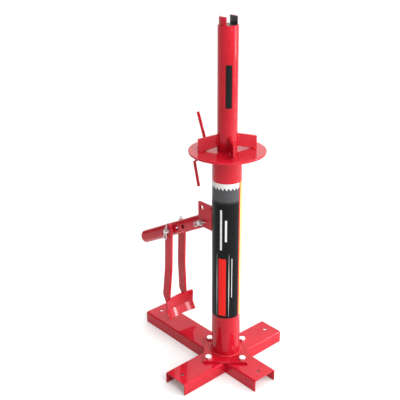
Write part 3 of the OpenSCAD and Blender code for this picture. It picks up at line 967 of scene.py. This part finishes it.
def make_forked_end():
    """The solid end with a milled slot, and the small weld that tacks it to the tube."""
    radius = high("forked_post_end").x
    bottom = low("forked_post_end").z
    top = high("forked_post_end").z
    chamfer = 1.5
    slot_floor = UPPER_POST_TOP + 0.5
    slot_depth = 40
    corners = ((0, bottom), (radius - chamfer, bottom), (radius, bottom + chamfer), (radius, top), (0, top))
    fork = revolved([Vector(corner) for corner in corners], 112)
    slot = bmesh.new()
    bmesh.ops.create_cube(slot, size=1)
    bmesh.ops.scale(slot, vec=(4 * radius, SLOT_WIDTH, slot_depth), verts=slot.verts)
    turn(shift(slot, z=slot_floor + slot_depth / 2), math.degrees(SLOT_ANGLE), "Z")
    piece = red_piece("forked_post_end", cut(fork, [slot]), bevel=0.7)

    # the slot's floor and walls are near-black bare steel, whose darkness is painted shade of the slot's
    # inside
    piece.data.materials.append(slot_steel_with_painted_shade("slot_steel_with_painted_shade"))
    across = Vector((-math.sin(SLOT_ANGLE), math.cos(SLOT_ANGLE), 0))
    for face in piece.data.polygons:
        in_slot = face.center.z > (slot_floor - 0.1) * MM
        is_floor = face.normal.z > 0.9 and face.center.z < (slot_floor + 1) * MM
        near_wall = abs(face.center.dot(across)) < (SLOT_WIDTH / 2 + 0.5) * MM
        is_wall = abs(face.normal.dot(across)) > 0.99 and near_wall
        if in_slot and (is_wall or is_floor):
            face.material_index = 1

    tack_radius = 23.4
    tack_angle = math.radians(-63)
    tack_step = math.radians(3.2)
    tack_path = [Vector((*spot(tack_radius, tack_angle + tack_step * step), UPPER_POST_TOP + 0.3))
                 for step in range(-4, 5)]
    weld_piece("fork_tack_weld", weld_bead(tack_path, 2.1, away_from_post(1.5), pitch=2.6), in_cad=False)


def label_shell(start, end, bottom, top, outer_radius):
    """A thin curved film on the lower post between two directions in degrees, with rounded corners."""
    embed = 0.25
    strips = 40
    length = math.radians(end - start) * POST_RADIUS
    outline = rounded(rectangle(0, bottom, length, top), 3.0, 5)
    film = plate(outline, [], outer_radius - POST_RADIUS + embed, 0.08, 2)
    sliced(film, ALONG_X, [length * strip / strips for strip in range(1, strips)])
    return wrapped(film, POST_RADIUS, math.radians(start), embed)


def make_labels():
    """The dark front label and the yellow side label."""
    for node, start, end, film, slot in (
            ("front_label", -124, 10, front_label_film, "dark_label"),
            ("side_label", 18, 74, side_label_film, "yellow_label")):
        shell = label_shell(start, end, low("front_label").z, high("front_label").z, -low("front_label").y)
        add_piece("vis_" + node, shell, film(node + "_film"), "base", [node])


def make_upper_mark():
    """One plain black bar printed up the front of the upper post."""
    half_width = 8
    bottom = 740
    top = 846
    ink = 0.15
    embed = 0.2
    middle = math.radians(-38)
    outline = rounded(rectangle(-half_width, bottom, half_width, top), 3, 5)
    mark = plate(outline, [], ink + embed, 0.05, 2)
    sliced(mark, ALONG_X, range(1 - half_width, half_width))
    wrapped(mark, UPPER_POST_RADIUS, middle, embed)
    add_piece("vis_upper_post_mark", mark, printed_black("printed_black"), "base")


# ---------- bracket ----------

def make_bracket():
    """Two ears with a pair of pin holes each, coped to the lower post and welded to it."""
    free_edge = low("bracket_ear_near").x
    bottom = low("bracket_ear_near").z
    top = high("bracket_ear_near").z
    coped_edge = -POST_RADIUS
    coping_gap = 0.3
    for node, side in (("bracket_ear_near", -1), ("bracket_ear_far", 1)):
        outline = rounded([(free_edge, bottom, 2.0), (coped_edge, bottom, 0), (coped_edge, top, 0),
                           (free_edge, top, 2.0)], 2.0, 4)
        holes = [circle(PIVOT.x, height, PIN_HOLE_RADIUS) for height in (PIVOT.z, SPARE_HOLE_HEIGHT)]
        ear = turn(plate(outline, holes, PLATE_STOCK, 0.6), 90, "X")
        shift(ear, y=EAR_OUTER_FACE if side > 0 else -EAR_INNER_FACE)
        for vert in ear.verts:
            if vert.co.x > coped_edge - 1:
                vert.co.x += coping_gap - math.sqrt(POST_RADIUS ** 2 - vert.co.y ** 2) - coped_edge
        red_piece(node, ear)

    bead_x = -math.sqrt(POST_RADIUS ** 2 - EAR_OUTER_FACE ** 2) - 0.9
    bead_y = EAR_OUTER_FACE + 0.6
    weld_piece("bracket_welds", joined([
        straight_bead((bead_x, side * bead_y, bottom + 2), (bead_x, side * bead_y, top - 2),
                      (-0.5, side, 0), 3.4, 2.8) for side in (-1, 1)]))


# ---------- wheel support ----------

def make_wheel_support():
    """The disc with the lock rod's hole, and four upright fins welded to it and to the upper post."""
    hole = circle(*spot(ROD_HOLE_REACH, ROD_ANGLE), ROD_HOLE_RADIUS)
    disc = plate(circle(0, 0, DISC_RADIUS, 160), [hole], DISC_TOP - DISC_BOTTOM, 0.9, 4)
    red_piece("wheel_support_disc", shift(disc, z=DISC_BOTTOM))

    inner_edge = UPPER_POST_RADIUS - 1.5
    seat = 0.05
    beads = []
    for number in range(4):
        degrees = FIN_ANGLE + 90 * number
        outline = rounded([(inner_edge, FIN_INNER_GAP, 0), (FIN_FOOT_RADIUS, seat, 0.5),
                           (FIN_REACH, seat, 0.5), (FIN_REACH, FIN_END_TOP, 2.0),
                           (inner_edge, FIN_INNER_TOP, 0)], 1.0, 4)
        fin = turn(plate(outline, [], PLATE_STOCK, 0.6), 90, "X")
        shift(fin, y=PLATE_STOCK / 2, z=DISC_TOP)
        red_piece("support_fin_%d" % (number + 1), turn(fin, degrees, "Z"))

        for side in (-1, 1):
            post_x = UPPER_POST_RADIUS + 0.2
            post_y = side * (PLATE_STOCK / 2 + 0.4)
            disc_y = side * (PLATE_STOCK / 2 + 0.5)
            disc_z = DISC_TOP + 0.5
            bead_bottom = DISC_TOP + FIN_INNER_GAP + 0.5
            bead_top = DISC_TOP + FIN_INNER_TOP - 2.5
            upright = straight_bead((post_x, post_y, bead_bottom), (post_x, post_y, bead_top),
                                    (1, side, 0), 3.3, 3.4)
            level = straight_bead((FIN_FOOT_RADIUS, disc_y, disc_z), (FIN_REACH - 0.5, disc_y, disc_z),
                                  (0, side, 1), 2.7, 3.0)
            beads += [turn(upright, degrees, "Z"), turn(level, degrees, "Z")]
    weld_piece("fin_welds", joined(beads))


# ---------- pins and clips ----------

def clip_axes(degrees, flip):
    """Directions of a clip's straight leg and of its wavy side."""
    angle = math.radians(degrees)
    along = Vector((math.cos(angle), 0, math.sin(angle)))
    wavy = Vector((-math.sin(angle), 0, math.cos(angle))) * (-1 if flip else 1)
    return along, wavy


def quick_release_pin(centre, clips):
    """A plated pin along Y with chamfered ends and a cross hole for each (side, degrees, flip) clip."""
    end = PIN_HALF_LENGTH
    chamfer = 1.2
    cutter_reach = 12
    corners = [(0, -end, 0), (PIN_RADIUS - chamfer, -end), (PIN_RADIUS, chamfer - end),
               (PIN_RADIUS, end - chamfer), (PIN_RADIUS - chamfer, end), (0, end, 0)]
    pin = turn(revolved(rounded(corners, 0.4, 2), 64), -90, "X")
    cutters = []
    for side, degrees, flip in clips:
        along = clip_axes(degrees, flip)[0]
        place = Vector((0, side * CLIP_REACH, 0))
        cutters.append(cross_cutter(place, along * cutter_reach, CLIP_HOLE_RADIUS, 24))
    return shift(cut(pin, cutters), *centre)


def hairpin_clip(centre, side, degrees, flip):
    """A wire clip whose straight leg runs through the pin and whose wavy leg hugs it."""
    loop_centre = (-19.6, 5.6)
    leg_tip = 24.4
    leg_bend = 8
    dip_radius = 5
    slope = 40
    hug_radius = PIN_RADIUS + CLIP_WIRE_RADIUS + 0.15
    dip_y, dip_x = spot(hug_radius + dip_radius, math.radians(slope))
    flat = [Vector((leg_tip, 0)), Vector((leg_bend, 0)), Vector((-leg_bend, 0))]
    flat += arc(loop_centre, loop_centre[1], 270, 90 - slope, 26)
    flat += arc((-dip_x, dip_y), dip_radius, 270 - slope, 270 + slope, 10)
    flat += arc((0, 0), hug_radius, 90 + slope, 90 - slope, 14, 1)
    flat += arc((dip_x, dip_y), dip_radius, 270 - slope, 260 + slope, 10, 1)
    along, wavy = clip_axes(degrees, flip)
    middle = centre + Vector((0, side * CLIP_REACH, 0))
    path = [middle + along * point.x + wavy * point.y for point in flat]
    return swept(path, CLIP_WIRE_RADIUS)


def make_pins():
    """The pivot pin and the link pin, each with two wire clips given as (side, degrees, flip)."""
    for node, clip_node, body, centre, clips in (
            ("arm_pivot_pin", "pivot_pin_clips", "base", PIVOT, ((-1, 19, True), (1, 199, False))),
            ("link_pin", "link_pin_clips", "arm", LINK_PIN, ((-1, 88, False), (1, -28, False)))):
        add_piece("vis_" + node, quick_release_pin(centre, clips), PIN_ZINC_PAINTED_SHADE, body, [node])
        wires = joined([hairpin_clip(centre, *clip) for clip in clips])
        add_piece("vis_" + clip_node, wires, SPRING_WIRE_PAINTED_SHADE, body, [clip_node], sharp=50)


# ---------- arm ----------

def make_arm():
    """The sloping arm tube, with a hole on its pivot and three for the link pin."""
    arm = turn(tube(ARM_RADIUS, ARM_RADIUS - ARM_WALL, -ARM_OUTER_END, ARM_INNER_END, 0.7, 112), 90, "Y")
    cutters = [cross_cutter(ALONG_X * x, ALONG_Y * 30, PIN_HOLE_RADIUS, 48) for x in ARM_HOLES]
    red_piece("breaker_arm_tube", shift(turn(cut(arm, cutters), -ARM_SLOPE, "Y"), *PIVOT), "arm")


# ---------- links and shoe ----------

def smooth_ramp(value, start, end, height, blend):
    """Nothing before start, height after end, a straight slope between, with rounded bends."""
    def bend(distance):
        if distance <= -blend:
            return 0
        if distance >= blend:
            return distance
        return (distance + blend) ** 2 / (4 * blend)
    return height / (end - start) * (bend(value - start) - bend(value - end))


def link_bar(side):
    """A flat bar hanging from the origin, bent outwards below its pin."""
    half = LINK_HALF_WIDTH
    crown = half + 1
    crown_start = math.sqrt(crown ** 2 - half ** 2)
    tip_angle = math.degrees(math.atan2(crown_start, half))
    corner_height = 34
    corner_inset = 6
    outline = arc((0, LINK_HEAD - crown), crown, tip_angle, 180 - tip_angle, 18)
    outline += rounded([(-half, 0, 0), (-half, corner_height - LINK_DROP, 2),
                        (half - corner_inset, -LINK_DROP, 2), (half, -LINK_DROP, 1), (half, 0, 0)], 1, 4)
    bm = turn(plate(outline, [circle(0, 0, PIN_HOLE_RADIUS)], PLATE_STOCK, 0.7), 90, "X")
    shift(bm, y=PLATE_STOCK)
    blend = 12
    sliced(bm, UP, [-(bend + offset) for bend in (LINK_BEND_DROP, -SHOE_TOP)
                    for offset in range(-blend, blend + 1, 4)])
    for vert in bm.verts:
        vert.co.y += EAR_INNER_FACE + smooth_ramp(-vert.co.z, LINK_BEND_DROP, -SHOE_TOP, LINK_SPLAY, blend)
        vert.co.y *= side
    return bm


def hang(bm):
    """Lean the hanging group and put it on its pin."""
    return shift(turn(bm, LINK_LEAN, "Y"), *LINK_PIN)


def shoe_plate(axis_x):
    """The bent shoe: an upright blade curved about a distant axis, with a lip flared towards the post."""
    inner = SHOE_INNER_RADIUS
    outer = SHOE_OUTER_RADIUS
    flare = 13
    lip_bottom = SHOE_BLADE_BOTTOM - 23
    columns = 48
    edge = 0.7
    profile = rounded([(inner, SHOE_TOP, 0.8), (outer, SHOE_TOP, 0.8), (outer, SHOE_BLADE_BOTTOM, 5),
                       (outer - flare, lip_bottom, 0.8), (inner - flare - 0.5, lip_bottom + 2.5, 0.8),
                       (inner, SHOE_BLADE_BOTTOM + 1, 1.6)], 0.8, 5)
    full = profile if area(profile) > 0 else profile[::-1]
    ends = ((0, shrunk(full, edge)), (0.25 * edge, shrunk(full, 0.34 * edge)), (edge, full))
    places = [(distance - SHOE_HALF_LENGTH, section) for distance, section in ends]
    places += [(SHOE_HALF_LENGTH * (2 * column / columns - 1), full) for column in range(1, columns)]
    places += [(SHOE_HALF_LENGTH - distance, section) for distance, section in reversed(ends)]
    bm = bmesh.new()
    rings = []
    for y, section in places:
        rings.append([bm.verts.new((axis_x - math.sqrt(point.x ** 2 - y ** 2), y, point.y))
                      for point in section])
    return skin(bm, rings)


def make_links():
    """Two hanging bars with the curved shoe welded between their lower ends."""
    for node, side in (("near_link", -1), ("far_link", 1)):
        red_piece(node, hang(link_bar(side)), "shoe_links")
    inner_y = EAR_INNER_FACE + LINK_SPLAY
    outer_y = EAR_OUTER_FACE + LINK_SPLAY
    axis_x = LINK_HALF_WIDTH + math.sqrt(SHOE_OUTER_RADIUS ** 2 - inner_y ** 2)
    red_piece("breaker_shoe", hang(shoe_plate(axis_x)), "shoe_links")
    bead_x = 13.6
    beads = []
    for side in (-1, 1):
        outside = side * (outer_y + 0.4)
        inside = side * (outer_y - PLATE_STOCK - 0.3)
        beads.append(straight_bead(
            (bead_x, outside, SHOE_BLADE_BOTTOM + 6), (bead_x, outside, SHOE_TOP - 2),
            (-0.4, side, 0), 3.4, 2.8))
        beads.append(straight_bead(
            (bead_x, inside, SHOE_BLADE_BOTTOM + 8), (bead_x, inside, SHOE_TOP - 4),
            (-0.4, -side, 0), 2.6, 2.8))
    weld_piece("shoe_welds", hang(joined(beads)), "shoe_links")


# ---------- wheel lock rod ----------

def make_lock_rod():
    """The cranked rod, from (distance from the post axis, height, bend radius) corners."""
    bend_radius = 11
    bend_steps = 12
    corners = [(87.6, high("wheel_lock_rod").z, 0), (57.02, 611, bend_radius), (105, 571, bend_radius),
               (86.66, low("wheel_lock_rod").z, 0)]
    # known fault: at the lower bend the slice takes points that belong to the upper one,
    # so the rod folds back under its upper bend and its lower bend is a sharp corner
    line = []
    for index, corner in enumerate(corners):
        if not corner[2]:
            line.append(Vector(corner[:2]))
            continue
        line += rounded([corners[index - 1], corner, corners[index + 1]], 0, bend_steps)[1:bend_steps + 2]
    out = Vector((*spot(1, ROD_ANGLE), 0))
    path = [out * point.x + UP * point.y for point in line]
    red_piece("wheel_lock_rod", swept(path, ROD_RADIUS, 32), "lock_rod")


make_base()
make_fasteners()
make_lower_post()
make_upper_post()
make_forked_end()
make_labels()
make_upper_mark()
make_bracket()
make_wheel_support()
make_pins()
make_arm()
make_links()
make_lock_rod()


# ---------- floor, light and camera ----------

def make_floor():
    """A floor that reaches far past the picture."""
    half_side = 30
    bm = bmesh.new()
    bmesh.ops.create_grid(bm, x_segments=12, y_segments=12, size=half_side)
    mesh = bpy.data.meshes.new("studio_floor")
    bm.to_mesh(mesh)
    bm.free()
    mesh.materials.append(studio_floor("studio_floor"))
    floor = bpy.data.objects.new("studio_floor", mesh)
    bpy.context.scene.collection.objects.link(floor)


def area_light(name, azimuth, elevation, distance, width, height, power, target):
    """A soft light aimed at a point, placed by direction and distance in metres."""
    light = bpy.data.lights.new(name, "AREA")
    light.shape = "RECTANGLE"
    light.size = width
    light.size_y = height
    light.energy = power
    holder = bpy.data.objects.new(name, light)
    bpy.context.scene.collection.objects.link(holder)
    level = math.cos(math.radians(elevation))
    direction = Vector((*spot(level, math.radians(azimuth)), math.sin(math.radians(elevation))))
    holder.location = target + direction * distance
    holder.rotation_euler = (-direction).to_track_quat("-Z", "Y").to_euler()
    holder.visible_camera = False


def make_lights():
    """A key light, a fill from the side and two strips that draw highlights along the tubes."""
    target = Vector((0, 0, high("forked_post_end").z * MM / 2))
    area_light("key_light", -16, 33, 2.6, 0.9, 1.2, 34, target)
    area_light("side_light", 40, 11, 2.8, 1.5, 2.0, 15, target)
    area_light("strip_light_a", 46, 13, 2.7, 0.22, 1.7, 32, target)
    area_light("strip_light_b", 22, 14, 2.7, 0.30, 1.0, 16, target)


def make_world():
    """The room that lights the part, and an evenly pale backdrop for the camera."""
    world = bpy.data.worlds.new("studio")
    bpy.context.scene.world = world
    world.use_nodes = True
    sky = Nodes(world.node_tree, "Generated")
    # white walls to the right and behind, a bright patch high up behind, a bright ceiling
    walls = sky.spread(sky.dot(sky.place, (0.30, 0.90, 0.30)), -0.30, 0.65, 0.10, 0.80, "SMOOTHSTEP")
    patch = sky.spread(sky.dot(sky.place, (-0.60, 0.66, 0.45)), 0.82, 0.97, 0.0, 0.65, "SMOOTHSTEP")
    ceiling = sky.spread(sky.dot(sky.place, (0, 0, 1)), 0.50, 0.90, 0.0, 1.20, "SMOOTHSTEP")
    room = world.node_tree.nodes["Background"]
    room.inputs["Color"].default_value = (1, 1, 1, 1)
    sky.wire(sky.maths("ADD", sky.maths("ADD", walls, patch), ceiling), room.inputs["Strength"])
    backdrop = sky.node("ShaderNodeBackground")
    backdrop.inputs["Color"].default_value = (0.97, 0.97, 0.975, 1)
    choice = sky.node("ShaderNodeMixShader")
    sky.wire(sky.node("ShaderNodeLightPath").outputs["Is Camera Ray"], choice.inputs["Fac"])
    sky.wire(room.outputs["Background"], choice.inputs[1])
    sky.wire(backdrop.outputs["Background"], choice.inputs[2])
    sky.wire(choice.outputs["Shader"], world.node_tree.nodes["World Output"].inputs["Surface"])


def make_camera():
    """The photograph's viewpoint: above eye level, on the side of the side leg and the short end."""
    position = Vector((1.21847, -1.18143, 1.22114))
    heading = math.radians(-48.192)
    pitch = math.radians(21.372)
    roll = math.radians(-0.368)
    forward = Vector((math.sin(heading) * math.cos(pitch), math.cos(heading) * math.cos(pitch),
                      -math.sin(pitch)))
    level = Vector((math.cos(heading), -math.sin(heading), 0))
    upright = level.cross(forward)
    right = level * math.cos(roll) + upright * math.sin(roll)
    top = upright * math.cos(roll) - level * math.sin(roll)
    lens = bpy.data.cameras.new("camera")
    lens.sensor_width = 36
    lens.lens = 64.884
    lens.shift_y = -0.06
    lens.clip_start = 0.05
    lens.clip_end = 200
    camera = bpy.data.objects.new("camera", lens)
    bpy.context.scene.collection.objects.link(camera)
    turned = Matrix((right, top, -forward)).transposed().to_4x4()
    camera.matrix_world = Matrix.Translation(position) @ turned
    bpy.context.scene.camera = camera


make_floor()
make_lights()
make_world()
make_camera()
bpy.context.scene.view_settings.view_transform = "Standard"
